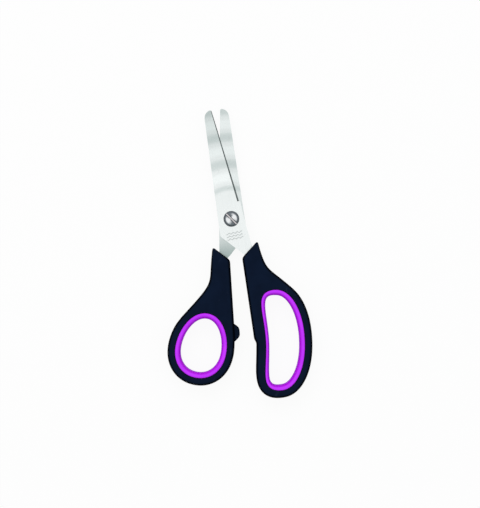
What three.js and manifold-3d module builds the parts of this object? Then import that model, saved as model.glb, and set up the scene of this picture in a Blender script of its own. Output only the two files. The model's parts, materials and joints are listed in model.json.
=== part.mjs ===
// Decorative edge scissors: two wave-pressed steel blades on one slotted screw,
// with moulded handles over their tangs, soft loop liners and a closing bumper.
//
// Millimetres and degrees, +Z up. The scissors lie flat with the blades towards +Y.
// Each half is drawn shut, about the screw's axis, and then turned open.
// The drawings are for a handle on the +X side; the thumb half mirrors them to -X.
import * as THREE from "three";
import { mergeVertices } from "three/addons/utils/BufferGeometryUtils.js";
import Module from "manifold-3d";

const wasm = await Module();
wasm.setup();

// ---- Driving dimensions -------------------------------------------------

// How far the halves stand open at rest
const restOpening = 6.4;

// Clearances
const bladeGap = 0.12; // between the blades' inner faces
const seatGap = 0.05; // under the screw head, and on each side of the washer
const holeGap = 0.05; // round the screw in its holes, on the radius
const mouldGap = 0.3; // between a moulded piece and what it is moulded on
const bumperGap = 0.15; // bumper to finger handle when shut

// Blades
const sheetThickness = 1.5;
const bladeReach = 61.8; // screw axis to tip
const tipEdge = 1.1; // cutting edge from the centre line at the tip
const tipRound = 1.2; // how far down the cutting edge the tip's rounding reaches
const tipSpine = 3.7; // spine from the centre line below the tip's slope
const tipSlope = 4.4; // how far down the spine the tip's slope reaches
const tipCrown = [3.3, 0.7]; // corner that the slope bends round: off the centre line, below the tip
const ricassoReach = 9.0; // where the cutting edge ends near the screw
const ricassoEdge = 6.1; // cutting edge from the centre line there
const ricassoStep = 0.7;
const heelSpine = 8.0; // spine from the centre line at its lower corner
const heelDrop = 8.4; // how far below the screw that corner lies
const edgeLand = 0.35; // flat left under the ground bevel
const bevelAtTip = 0.8; // width of the ground bevel
const bevelAtRicasso = 1.4;
const bevelClear = 0.6; // how far past the ricasso's corner the bevel starts
const overrun = 2; // how far a cutting shape runs past what it cuts

// Wave pressed into both blades, in rings round the screw
const wavePitch = 14.9;
const waveHeight = 1.1; // crest above the middle
const waveStart = 13; // the sheets are flat nearer the screw than this
const waveRamp = 6; // distance over which the wave grows to full height
const firstCrest = 19.7;

// Tangs
const tangHoleDrop = 32; // locking hole below the screw
const tangHoleRadius = 1.5;
const tangEnd = 38; // how far below the screw the tang ends
const tangInner = 5.4; // tang's inner side from the centre line at its end
const tangWidth = 4.4;
const tangOuter = tangInner + tangWidth;
const tangFull = [26, 25]; // how far below the screw its outer and inner sides turn straight
const tangTop = [7.2, -4]; // outer side under the ricasso
const tangWaist = [8.3, -17.4]; // outer side at the handle's mouth
const tangThroat = [4.9, -22.4]; // inner side, where it leaves the blade's lower edge
const tangNotch = [2.0, -19.8];

// Screw, washer and nut
const headRadius = 4.4;
const headRim = 0.6;
const headDome = 1.3;
const slotWidth = 1.3;
const slotDepth = 1.1;
const slotTurn = -53; // slot's direction from +X
const shoulderRadius = 2.5;
const threadRadius = 2.0;
const washerThickness = 0.4;
const washerRadius = 4.2;
const washerBow = 0.12; // how far the washer's curve rises and falls
const nutThickness = 2.2;
const nutAcrossFlats = 7.0;
const threadEnd = 0.3; // screw's end beyond the nut

// Handles and liners
const handleThickness = 11;
const handleRound = 1.6;
const linerRound = 0.5;
const lipWidth = 3.0; // liner's ring seen on the face
const loopWall = 7.3; // loop's opening to the handle's outside
const ribHeight = 0.8; // handle's rib that locks the liner
const ribThickness = 2.4;

// Thumb loop: an egg. Finger loop: a long bean. Each grows downwards and outwards
// from its top, and its inner wall stays where offset puts it.
const thumbLoop = {
  offset: -0.2, // outside of the inner wall from the centre line, at the loop's top
  topDrop: 54.5, // top of the opening below the screw
  halfWidth: 11.1,
  halfLength: 15.2,
  taper: -0.14, // how much wider the bottom is than the middle
  bow: 0, // how far the middle bulges outwards
  squareness: 2.1, // 2 is an ellipse, and more is squarer
  tilt: 17,
  innerThinning: 0, // how much narrower the liner's lip is on the inner side
};
const fingerLoop = {
  offset: -1.0,
  topDrop: 46.5,
  halfWidth: 8.4,
  halfLength: 25.1,
  taper: 0,
  bow: 4.4,
  squareness: 3,
  tilt: -8,
  innerThinning: 0.4,
};

// Handle necks, from the slanted mouth to the loop
const footRound = 1.5; // how far the rounding of the mouth's foot reaches
const fingerNeck = {
  mouthTop: [11.8, -15.0],
  mouthFoot: [1.5, -22.6],
  outerLean: 5, // direction in which the outer side leaves the mouth
  outerStart: 19.4, // how far the outer side holds that direction
  outerEnd: 20.3, // how far it holds the loop's direction
  outerJoin: 55, // angle on the loop where the outer side meets it
  innerCurve: [1.1, -46],
  innerJoin: 183, // angle on the loop where the inner side meets it
  innerFoot: [-0.64, 3.06], // where its curve ends, from that join
};
const thumbNeck = {
  mouthTop: [11.8, -14.9],
  mouthFoot: [2.8, -22.9],
  outerLean: 13,
  outerStart: 23.2,
  outerEnd: 30.8,
  outerJoin: 38,
  innerCurve: [3.4, -44],
  innerJoin: 176,
  innerFoot: [-0.83, 6.37],
};

// Bumper on the thumb handle's inner side
const bumperDrop = 63.4; // its middle below the screw
const bumperLength = 9.2;
const bumperCrest = 2.2; // length of its flat top
const bumperShoulder = 3.1; // from its middle to where each end falls away straight
const bumperFall = 0.7; // share of its height at that shoulder
const bumperHeight = 6; // its size along Z
const bumperRootLength = 4.5;
const bumperRootHeight = 4;
const bumperRootDepth = 2.2;

// Smoothness of the solids
const loopSteps = 44;
const waveRows = 50;
const waveColumns = 9;
const turnSteps = 32;
const curveSteps = 8;
const sideSamples = 100; // points looked at to find where a neck's side lies

// ---- Heights of the stack -----------------------------------------------

const contactHeight = handleThickness / 2;
const frontUnder = contactHeight + bladeGap / 2;
const frontOver = frontUnder + sheetThickness;
const rearOver = contactHeight - bladeGap / 2;
const rearUnder = rearOver - sheetThickness;
const headUnder = frontOver + seatGap;
const washerOver = rearUnder - seatGap - washerBow;
const washerUnder = washerOver - washerThickness;
const nutOver = washerUnder - washerBow - seatGap;
const nutUnder = nutOver - nutThickness;

// ---- Materials ----------------------------------------------------------

const steel = () => new THREE.MeshStandardMaterial({ color: 0xd9e0dc, roughness: 0.28, metalness: 1 });
const screwSteel = () => new THREE.MeshStandardMaterial({ color: 0xb8bfc2, roughness: 0.18, metalness: 1 });
const blackPlastic = () => new THREE.MeshStandardMaterial({ color: 0x0e1622, roughness: 0.55, metalness: 0 });
const softMagenta = () => new THREE.MeshStandardMaterial({ color: 0xc02dff, roughness: 0.5, metalness: 0 });

// ---- Solids -------------------------------------------------------------

const radians = THREE.MathUtils.degToRad;

// A closed geometry as a solid that can be joined and cut.
function solidFrom(geometry) {
  const bare = new THREE.BufferGeometry();
  bare.setAttribute("position", geometry.getAttribute("position"));
  bare.setIndex(geometry.getIndex());
  const merged = mergeVertices(bare, 1e-4);
  return new wasm.Manifold(
    new wasm.Mesh({
      numProp: 3,
      vertProperties: merged.getAttribute("position").array,
      triVerts: new Uint32Array(merged.getIndex().array),
    }),
  );
}

// A solid back as a geometry with flat faces.
function geometryFrom(solid) {
  const mesh = solid.getMesh();
  const indexed = new THREE.BufferGeometry();
  indexed.setAttribute("position", new THREE.BufferAttribute(mesh.vertProperties, 3));
  indexed.setIndex(new THREE.BufferAttribute(mesh.triVerts, 1));
  const geometry = indexed.toNonIndexed();
  geometry.computeVertexNormals();
  return geometry;
}

function named(name, solid, material) {
  const mesh = new THREE.Mesh(geometryFrom(solid), material);
  mesh.name = name;
  return mesh;
}

// The shape with its outline counter-clockwise and its holes clockwise.
function wound(shape) {
  const { shape: outline, holes } = shape.extractPoints(curveSteps);
  const clockwise = THREE.ShapeUtils.isClockWise;
  const result = new THREE.Shape(clockwise(outline) ? outline.reverse() : outline);
  result.holes = holes.map((hole) => new THREE.Path(clockwise(hole) ? hole : hole.reverse()));
  return result;
}

// A flat slab of the shape between two heights, its edges rounded or grown by a clearance.
function slab(shape, bottom, top, { round = 0, roundSteps = 2, grow = 0 } = {}) {
  const edge = round || grow;
  const geometry = new THREE.ExtrudeGeometry(wound(shape), {
    depth: top - bottom - 2 * round,
    bevelEnabled: edge > 0,
    bevelThickness: edge,
    bevelSize: edge,
    bevelOffset: round ? -round : 0,
    bevelSegments: grow ? 1 : roundSteps,
  });
  geometry.translate(0, 0, bottom + round);
  return solidFrom(geometry);
}

function shapeOf(points, side = 1) {
  return new THREE.Shape(points.map(([x, y]) => new THREE.Vector2(side * x, y)));
}

// ---- Wave and blades ----------------------------------------------------

// Height of the pressed wave at a distance from the screw.
function wave(distance) {
  const grown = THREE.MathUtils.smoothstep(distance, waveStart, waveStart + waveRamp);
  return waveHeight * grown * Math.cos((2 * Math.PI * (distance - firstCrest)) / wavePitch);
}

// The tang's outline, from its outer side by the ricasso to the spine's lower corner.
const tangPoints = [
  tangTop,
  tangWaist,
  [tangOuter, -tangFull[0]],
  [tangOuter, -tangEnd],
  [tangInner, -tangEnd],
  [tangInner, -tangFull[1]],
  tangThroat,
  tangNotch,
  [-heelSpine, -heelDrop],
];

// A round hole drawn with flats that stay outside its radius.
function addHole(shape, x, y, radius) {
  const corner = radius / Math.cos(Math.PI / turnSteps);
  const points = [];
  for (let i = 0; i < turnSteps; i++) {
    const turn = (i * 2 * Math.PI) / turnSteps;
    points.push(new THREE.Vector2(x + corner * Math.cos(turn), y + corner * Math.sin(turn)));
  }
  shape.holes.push(new THREE.Path(points));
}

function addTangHole(shape, side) {
  addHole(shape, side * (tangInner + tangWidth / 2), -tangHoleDrop, tangHoleRadius);
}

// The whole blade's outline, for a cutting edge on the side given.
function bladeShape(side) {
  const shape = shapeOf(
    [
      [tipEdge, bladeReach - tipRound],
      [ricassoEdge, ricassoReach],
      [ricassoEdge + ricassoStep, ricassoReach - ricassoStep],
      ...tangPoints,
      [-tipSpine, bladeReach - tipSlope],
    ],
    side,
  );
  const [crownOff, crownDrop] = tipCrown;
  shape.quadraticCurveTo(-side * crownOff, bladeReach - crownDrop, 0, bladeReach);
  shape.quadraticCurveTo(side * tipEdge, bladeReach, side * tipEdge, bladeReach - tipRound);
  addTangHole(shape, side);
  return shape;
}

// A sheet whose rows run in rings round the screw and follow the wave.
function wavySheet(under, over) {
  const width = 2 * (heelSpine + overrun);
  const rows = waveRows + 1;
  const sheet = new THREE.BoxGeometry(width, 1, over - under, waveColumns, rows, 1);
  const place = sheet.getAttribute("position");
  const rowPitch = (bladeReach + overrun - waveStart) / waveRows;
  for (let i = 0; i < place.count; i++) {
    const x = place.getX(i);
    const row = Math.round((place.getY(i) + 0.5) * rows);
    const ring = waveStart + (row - 1) * rowPitch;
    const y = row === 0 ? -tangEnd - overrun : Math.sqrt(ring * ring - x * x);
    const lift = row === 0 ? 0 : wave(ring);
    place.setXYZ(i, x, y, (under + over) / 2 + place.getZ(i) + lift);
  }
  return solidFrom(sheet);
}

// Where the cutting edge crosses the ring at a distance from the screw.
function edgeAt(distance) {
  const lean = (tipEdge - ricassoEdge) / (bladeReach - tipRound - ricassoReach);
  const base = ricassoEdge - lean * ricassoReach;
  const a = 1 + lean * lean;
  const b = lean * base;
  const y = (-b + Math.sqrt(b * b - a * (base * base - distance * distance))) / a;
  return [base + lean * y, y];
}

// The wedge that grinds the bevel along the cutting edge, on the blade's outer face.
// outward is +1 for a bevel on the upper face and -1 for one underneath.
function bevelWedge(side, innerFace, outward) {
  const first = Math.hypot(ricassoEdge, ricassoReach) + bevelClear;
  const last = bladeReach + overrun;
  const wedge = new THREE.BoxGeometry(1, 1, 1, 1, waveRows, 1);
  const place = wedge.getAttribute("position");
  for (let i = 0; i < place.count; i++) {
    const along = place.getY(i) + 0.5;
    const distance = first + along * (last - first);
    const width = THREE.MathUtils.lerp(bevelAtRicasso, bevelAtTip, along);
    const slope = (sheetThickness - edgeLand) / width;
    const inboard = place.getX(i) > 0 ? -overrun / 2 : width + overrun / 2 / slope;
    const [edgeX, edgeY] = edgeAt(distance);
    const x = edgeX - inboard;
    const ground = edgeLand + inboard * slope;
    const height = place.getZ(i) > 0 ? sheetThickness + overrun : ground;
    const lift = wave(Math.hypot(x, edgeY));
    place.setXYZ(i, side * x, edgeY, innerFace + lift + outward * height);
  }
  return solidFrom(wedge);
}

// One blade. side is where its cutting edge and tang lie; outward is the side of
// the sheet that faces away from the other blade.
function makeBlade(side, outward, under, screwRadius) {
  const over = under + sheetThickness;
  const shape = bladeShape(side);
  addHole(shape, 0, 0, screwRadius + holeGap);
  const outline = slab(shape, under - 2 * waveHeight, over + 2 * waveHeight);
  const innerFace = outward > 0 ? under : over;
  return wavySheet(under, over).intersect(outline).subtract(bevelWedge(side, innerFace, outward));
}

// ---- Screw, washer and nut ----------------------------------------------

function turned(profile) {
  const points = profile.map(([r, z]) => new THREE.Vector2(r, z));
  const geometry = new THREE.LatheGeometry(points, turnSteps);
  return solidFrom(geometry.rotateX(Math.PI / 2));
}

function makeScrew() {
  const rim = headUnder + headRim;
  const dome = [];
  for (let i = 1; i < curveSteps; i++) {
    const turn = (i / curveSteps) * (Math.PI / 2);
    dome.push([headRadius * Math.cos(turn), rim + headDome * Math.sin(turn)]);
  }
  const crown = rim + headDome;
  const body = turned([
    [0, nutUnder - threadEnd],
    [threadRadius, nutUnder - threadEnd],
    [threadRadius, rearOver + bladeGap / 2],
    [shoulderRadius, rearOver + bladeGap / 2],
    [shoulderRadius, headUnder],
    [headRadius, headUnder],
    [headRadius, rim],
    ...dome,
    [0, crown],
  ]);
  const slot = new THREE.BoxGeometry(2 * headRadius + overrun, slotWidth, 2 * slotDepth);
  slot.rotateZ(radians(slotTurn)).translate(0, 0, crown);
  return body.subtract(solidFrom(slot));
}

// A ring that rises and falls twice on its way round.
function makeWasher() {
  const geometry = new THREE.LatheGeometry(
    [
      [threadRadius + 2 * holeGap, washerUnder],
      [washerRadius, washerUnder],
      [washerRadius, washerOver],
      [threadRadius + 2 * holeGap, washerOver],
      [threadRadius + 2 * holeGap, washerUnder],
    ].map(([r, z]) => new THREE.Vector2(r, z)),
    turnSteps,
  ).rotateX(Math.PI / 2);
  const place = geometry.getAttribute("position");
  for (let i = 0; i < place.count; i++) {
    const turn = Math.atan2(place.getY(i), place.getX(i));
    place.setZ(i, place.getZ(i) + washerBow * Math.cos(2 * turn));
  }
  return solidFrom(geometry);
}

function makeNut() {
  const corner = nutAcrossFlats / Math.sqrt(3);
  const sides = 6;
  const hexagon = [];
  for (let i = 0; i < sides; i++) {
    const turn = (i * 2 * Math.PI) / sides;
    hexagon.push([corner * Math.cos(turn), corner * Math.sin(turn)]);
  }
  const shape = shapeOf(hexagon);
  addHole(shape, 0, 0, threadRadius + holeGap);
  return slab(shape, nutUnder, nutOver);
}

// ---- Loops, liners and handles ------------------------------------------

// The outside wall round a loop's opening. Points are spaced evenly along it, so the
// opening has them closer together in its tight bends.
class WallCurve extends THREE.Curve {
  constructor(opening) {
    super();
    this.opening = opening;
  }

  getPoint(t, target = new THREE.Vector2()) {
    return target.fromArray(this.opening.outside(t, loopWall));
  }
}

// The edge of a loop's opening, counter-clockwise from its outer side.
class LoopCurve extends THREE.Curve {
  constructor(loop) {
    super();
    const lean = radians(loop.tilt);
    this.loop = loop;
    this.lean = lean;
    this.middle = new THREE.Vector2(
      loop.offset + loopWall + loop.halfWidth + loop.halfLength * Math.sin(lean),
      -loop.topDrop - loop.halfLength * Math.cos(lean),
    );
    this.wall = new WallCurve(this);
  }

  getPoint(t, target = new THREE.Vector2()) {
    const { halfWidth, halfLength, taper, bow, squareness } = this.loop;
    const cos = Math.cos(2 * Math.PI * t);
    const sin = Math.sin(2 * Math.PI * t);
    const reach = (Math.abs(cos) ** squareness + Math.abs(sin) ** squareness) ** (-1 / squareness);
    const high = sin * reach;
    const across = halfWidth * cos * reach * (1 + taper * high) + bow * (1 - high * high);
    target.set(across, halfLength * high);
    return target.rotateAround(new THREE.Vector2(), this.lean).add(this.middle);
  }

  // A point moved straight out from the opening's edge.
  outside(t, distance) {
    const along = this.getTangent(t);
    const point = this.getPoint(t);
    return [point.x + along.y * distance, point.y - along.x * distance];
  }

  // Points all the way round, each moved out by its own distance.
  ring(distanceAt) {
    const points = [];
    for (let i = 0; i < loopSteps; i++) {
      const t = this.wall.getUtoTmapping(i / loopSteps);
      points.push(this.outside(t, distanceAt(t)));
    }
    return points;
  }

  // Width of the liner's lip, which may be narrower on the inner side.
  lip(t) {
    return lipWidth * (1 - this.loop.innerThinning * Math.max(0, -Math.cos(2 * Math.PI * t)));
  }
}

function ringSlab(outer, inner, side, bottom, top, edges) {
  const shape = shapeOf(outer, side);
  shape.holes.push(new THREE.Path(inner.map(([x, y]) => new THREE.Vector2(side * x, y))));
  return slab(shape, bottom, top, edges);
}

// The soft liner: a ring as thick as the handle, with a groove for the handle's rib.
function makeLiner(curve, side) {
  const outer = curve.ring((t) => curve.lip(t) - mouldGap);
  const inner = curve.ring(() => 0);
  const edges = { round: linerRound, roundSteps: 1 };
  const body = ringSlab(outer, inner, side, 0, handleThickness, edges);
  const groove = ringSlab(
    curve.ring(() => loopWall),
    curve.ring((t) => curve.lip(t) - ribHeight - mouldGap),
    side,
    contactHeight - ribThickness / 2 - mouldGap,
    contactHeight + ribThickness / 2 + mouldGap,
  );
  return body.subtract(groove);
}

function toward(from, to, distance) {
  const start = new THREE.Vector2(...from);
  const step = new THREE.Vector2(...to).sub(start).setLength(distance);
  return start.add(step).toArray();
}

// The inner side of a neck, from its mouth down to its foot above the loop.
function innerSide(curve, neck) {
  const start = toward(neck.mouthFoot, neck.innerCurve, footRound);
  const join = new THREE.Vector2(...curve.outside(neck.innerJoin / 360, loopWall));
  return new THREE.QuadraticBezierCurve(
    new THREE.Vector2(...start),
    new THREE.Vector2(...neck.innerCurve),
    new THREE.Vector2(...neck.innerFoot).add(join),
  );
}

// Distance of a neck's inner side from the centre line, at a drop below the screw.
function innerSideAt(curve, neck, drop) {
  const samples = innerSide(curve, neck).getPoints(sideSamples);
  const nearest = samples.reduce((best, point) =>
    Math.abs(point.y + drop) < Math.abs(best.y + drop) ? point : best,
  );
  return nearest.x;
}

// The neck's outer side, from the loop up to the mouth.
function outerSide(curve, neck) {
  const t = neck.outerJoin / 360;
  const join = curve.outside(t, loopWall);
  const lean = radians(neck.outerLean);
  const down = [neck.mouthTop[0] + Math.sin(lean), neck.mouthTop[1] - Math.cos(lean)];
  const along = curve.getTangent(t).multiplyScalar(neck.outerEnd);
  return new THREE.CubicBezierCurve(
    new THREE.Vector2(...join),
    new THREE.Vector2(...join).add(along),
    new THREE.Vector2(...toward(neck.mouthTop, down, neck.outerStart)),
    new THREE.Vector2(...neck.mouthTop),
  );
}

// Points on the loop's outside wall, counter-clockwise between two angles past 0.
function loopOutside(curve, from, to) {
  const clear = 0.5 / loopSteps;
  const evenly = [];
  for (let i = 0; i < loopSteps; i++) evenly.push(curve.wall.getUtoTmapping(i / loopSteps));
  const before = evenly.filter((t) => t > from + clear);
  const after = evenly.filter((t) => t < to - clear);
  return [from, ...before, ...after, to].map((t) => curve.outside(t, loopWall));
}

// A handle's outline: down its inner side, round the loop, up its outer side and
// across the slanted mouth.
function handleOutline(curve, neck) {
  const down = innerSide(curve, neck).getPoints(curveSteps);
  const loop = loopOutside(curve, neck.innerJoin / 360, neck.outerJoin / 360);
  const up = outerSide(curve, neck).getPoints(2 * curveSteps).slice(1);
  const foot = new THREE.QuadraticBezierCurve(
    new THREE.Vector2(...toward(neck.mouthFoot, neck.mouthTop, footRound)),
    new THREE.Vector2(...neck.mouthFoot),
    down[0],
  );
  const corner = foot.getPoints(curveSteps / 2).slice(0, -1);
  const pairs = (points) => points.map((point) => point.toArray());
  return [...pairs(down), ...loop, ...pairs(up), ...pairs(corner)];
}

// The space that the tang fills in its handle, with a post left through its hole.
function tangSpace(side, under) {
  const shape = shapeOf(tangPoints, side);
  addTangHole(shape, side);
  return slab(shape, under, under + sheetThickness, { grow: mouldGap });
}

function makeHandle(curve, neck, side, tangUnder) {
  const outline = handleOutline(curve, neck);
  const opening = curve.ring((t) => curve.lip(t));
  const body = ringSlab(outline, opening, side, 0, handleThickness, { round: handleRound });
  const rib = ringSlab(
    curve.ring((t) => curve.lip(t) + ribHeight),
    curve.ring((t) => curve.lip(t) - ribHeight),
    side,
    contactHeight - ribThickness / 2,
    contactHeight + ribThickness / 2,
  );
  return body.add(rib).subtract(tangSpace(side, tangUnder));
}

// ---- Bumper -------------------------------------------------------------

const fingerCurve = new LoopCurve(fingerLoop);
const thumbCurve = new LoopCurve(thumbLoop);
const thumbInner = -innerSideAt(thumbCurve, thumbNeck, bumperDrop);
const fingerInner = innerSideAt(fingerCurve, fingerNeck, bumperDrop);
const bumperProud = fingerInner - thumbInner - bumperGap;

// The root's block, grown by a clearance where it is the hole for the root.
function bumperRoot(grow) {
  const reach = bumperRootDepth + grow;
  const block = new THREE.BoxGeometry(
    2 * reach,
    bumperRootLength + 2 * grow,
    bumperRootHeight + 2 * grow,
  );
  block.translate(thumbInner, -bumperDrop, contactHeight);
  return solidFrom(block);
}

function makeBumper() {
  const base = thumbInner + mouldGap;
  const crest = thumbInner + bumperProud;
  const shoulder = THREE.MathUtils.lerp(base, crest, bumperFall);
  const flat = bumperCrest / 2;
  const low = (reach) => -bumperDrop - reach;
  const high = (reach) => -bumperDrop + reach;
  const shape = new THREE.Shape();
  shape.moveTo(base, low(bumperLength / 2));
  shape.lineTo(shoulder, low(bumperShoulder));
  shape.quadraticCurveTo(crest, low(bumperCrest), crest, low(flat));
  shape.lineTo(crest, high(flat));
  shape.quadraticCurveTo(crest, high(bumperCrest), shoulder, high(bumperShoulder));
  shape.lineTo(base, high(bumperLength / 2));
  const under = contactHeight - bumperHeight / 2;
  return slab(shape, under, under + bumperHeight).add(bumperRoot(0));
}

// ---- Assembly -----------------------------------------------------------

const thumbHandle = makeHandle(thumbCurve, thumbNeck, -1, rearUnder);

const fingerHalf = new THREE.Group();
fingerHalf.rotation.z = radians(restOpening / 2);
fingerHalf.add(
  named("front_blade", makeBlade(1, 1, frontUnder, shoulderRadius), steel()),
  named("finger_handle", makeHandle(fingerCurve, fingerNeck, 1, frontUnder), blackPlastic()),
  named("finger_insert", makeLiner(fingerCurve, 1), softMagenta()),
);

const thumbHalf = new THREE.Group();
thumbHalf.rotation.z = radians(-restOpening / 2);
thumbHalf.add(
  named("rear_blade", makeBlade(-1, -1, rearUnder, threadRadius), steel()),
  named("thumb_handle", thumbHandle.subtract(bumperRoot(mouldGap)), blackPlastic()),
  named("thumb_insert", makeLiner(thumbCurve, -1), softMagenta()),
  named("stop_bumper", makeBumper(), blackPlastic()),
  named("spring_washer", makeWasher(), screwSteel()),
  named("lock_nut", makeNut(), screwSteel()),
);

const scissors = new THREE.Group();
scissors.add(fingerHalf, thumbHalf, named("pivot_screw", makeScrew(), screwSteel()));

// The origin is under the middle of the whole, on the surface that it lies on.
const extent = new THREE.Box3().setFromObject(scissors, true);
const middle = extent.getCenter(new THREE.Vector3());
scissors.position.set(-middle.x, -middle.y, -extent.min.z);

export default scissors;
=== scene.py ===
# %% [markdown]
# # Decorative edge scissors
# A pair of craft scissors: two pressed steel blades on a slotted screw, black moulded
# handles with soft magenta liners, and a small bumper that stops the handles as they close.
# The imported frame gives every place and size. Each visible piece is rebuilt here as a finer
# mesh, in metres, where its frame node lies.

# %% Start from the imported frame
import json
from math import atan2, cos, pi, radians, sin, sqrt, tan

import bmesh
import bpy
from mathutils import Matrix, Vector
from mathutils.geometry import interpolate_bezier
from mathutils.kdtree import KDTree


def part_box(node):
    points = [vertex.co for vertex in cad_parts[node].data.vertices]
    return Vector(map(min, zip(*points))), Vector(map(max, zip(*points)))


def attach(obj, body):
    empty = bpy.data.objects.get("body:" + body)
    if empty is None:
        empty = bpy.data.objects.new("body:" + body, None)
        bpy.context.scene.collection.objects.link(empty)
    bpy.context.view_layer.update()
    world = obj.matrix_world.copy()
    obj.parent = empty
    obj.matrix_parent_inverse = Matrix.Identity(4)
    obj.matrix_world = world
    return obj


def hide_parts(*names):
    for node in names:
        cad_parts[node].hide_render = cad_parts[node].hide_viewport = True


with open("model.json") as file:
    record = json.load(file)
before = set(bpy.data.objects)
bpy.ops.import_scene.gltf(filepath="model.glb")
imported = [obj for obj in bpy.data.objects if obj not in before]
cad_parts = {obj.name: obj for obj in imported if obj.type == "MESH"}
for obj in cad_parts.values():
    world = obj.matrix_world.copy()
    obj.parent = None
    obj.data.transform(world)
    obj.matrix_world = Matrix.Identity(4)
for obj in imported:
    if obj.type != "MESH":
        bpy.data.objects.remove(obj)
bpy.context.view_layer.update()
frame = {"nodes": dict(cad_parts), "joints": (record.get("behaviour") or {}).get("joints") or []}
MM = 0.001

pivot_joint = next(j for j in frame["joints"] if j["name"] == "blade_pivot")
pivot = Vector(pivot_joint["pos_m"][:2])
lean = -radians(pivot_joint["range_deg"][0]) / 2  # each half stands this far from shut
print("screw axis at", tuple(round(c / MM, 2) for c in pivot), "mm")

# %% [markdown]
# ## Outlines from the frame
# The handles, liners and bumper are slabs: one outline seen from above, with shaped edges.
# A plane cut through a frame node gives that outline as a loop of edges. Its corners between
# short flats would show on a glossy edge, so a smooth curve is laid through the points and
# walked in even steps. A real corner, where the outline turns sharply, gets a small arc first.

# %% Cut a node with a level plane and walk the loops of the cut
STRAIGHT = radians(0.6)  # a point that turns less than this is left out
CORNER = radians(50)  # a point that turns more than this is a real corner


def turn_at(points, i):
    """How far the outline turns at a point, positive to the left."""
    before = points[i] - points[i - 1]
    after = points[(i + 1) % len(points)] - points[i]
    return -before.angle_signed(after)


def signed_area(points):
    return sum(points[i - 1].cross(points[i]) for i in range(len(points))) / 2


def walk_loop(first):
    points = [first.co.xy]
    last, here = None, first
    while True:
        ahead = [e.other_vert(here) for e in here.link_edges if e.other_vert(here) is not last]
        last, here = here, ahead[0]
        if here is first:
            return points
        points.append(here.co.xy)


def loops_in(bm):
    """Closed loops of a flat wire mesh, longest first, each counter-clockwise."""
    loops = []
    left = set(bm.verts)
    while left:
        first = next(v for v in bm.verts if v in left)
        points = walk_loop(first)
        near = {(round(p.x, 8), round(p.y, 8)) for p in points}
        left = {v for v in left if (round(v.co.x, 8), round(v.co.y, 8)) not in near}
        points = [p for i, p in enumerate(points) if abs(turn_at(points, i)) > STRAIGHT]
        loops.append(points if signed_area(points) > 0 else points[::-1])
    return sorted(loops, key=signed_area, reverse=True)


def outline_loops(node, height, shift=None):
    bm = bmesh.new()
    bm.from_mesh(frame["nodes"][node].data)
    bmesh.ops.remove_doubles(bm, verts=bm.verts, dist=1e-7)
    for v in bm.verts:
        v.co.z -= shift(v.co) if shift else 0
    whole = bm.verts[:] + bm.edges[:] + bm.faces[:]
    bmesh.ops.bisect_plane(
        bm,
        geom=whole,
        dist=1e-9,
        plane_co=(0, 0, height),
        plane_no=(0, 0, 1),
        clear_inner=True,
        clear_outer=True,
    )
    bmesh.ops.remove_doubles(bm, verts=bm.verts, dist=1e-6)
    loops = loops_in(bm)
    bm.free()
    return loops


# %% Round the real corners and smooth the rest
def arc_corners(points, radius, segments=6):
    """The outline with an arc of the given radius in place of each real corner."""
    result = []
    for i, corner in enumerate(points):
        turn = turn_at(points, i)
        if abs(turn) < CORNER:
            result.append(corner)
            continue
        back = (points[i - 1] - corner).normalized()
        on = (points[(i + 1) % len(points)] - corner).normalized()
        reach = radius * tan(abs(turn) / 2)
        middle = corner + (back + on).normalized() * (radius / cos(turn / 2))
        start = corner + back * reach - middle
        for k in range(segments + 1):
            result.append(middle + Matrix.Rotation(turn * k / segments, 2) @ start)
    return result


LONG_SIDE = 4.2 * MM  # a side longer than this is straight on the real outline
SIDE_PIECE = 2.5 * MM


def split_long_sides(points):
    """Extra points on long sides, so that the smoothing leaves them straight."""
    result = []
    for start, end in zip(points, points[1:] + points[:1]):
        length = (end - start).length
        pieces = round(length / SIDE_PIECE) if length > LONG_SIDE else 1
        result += [start.lerp(end, k / pieces) for k in range(pieces)]
    return result


def smooth_loop(outline, step):
    """A smooth closed curve through the points, walked in steps of about the given length."""
    points = split_long_sides(outline)
    count = len(points)
    tangents = []
    for i, here in enumerate(points):
        before = here - points[i - 1]
        after = points[(i + 1) % count] - here
        blend = before.normalized() * after.length + after.normalized() * before.length
        tangents.append(blend.normalized())
    result = []
    for i, here in enumerate(points):
        there = points[(i + 1) % count]
        reach = (there - here).length / 3
        pieces = max(1, round(3 * reach / step))
        handle = here + tangents[i] * reach
        other = there - tangents[(i + 1) % count] * reach
        knots = [p.to_3d() for p in (here, handle, other, there)]
        walked = interpolate_bezier(*knots, pieces + 1)
        result += [p.xy for p in walked[:-1]]
    return result


def outward_normals(points):
    normals = []
    for i in range(len(points)):
        along = points[(i + 1) % len(points)] - points[i - 1]
        normals.append(Vector((along.y, -along.x)).normalized())
    return normals


# %% [markdown]
# ## Slabs with shaped edges
# The wall of a slab is one loop extruded again and again, each time moved in or out and up,
# so the list of moves is the edge's profile. An integer layer on the vertices carries each
# point's number through the extrusions, so a profile can be deeper in one place than in another.

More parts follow.
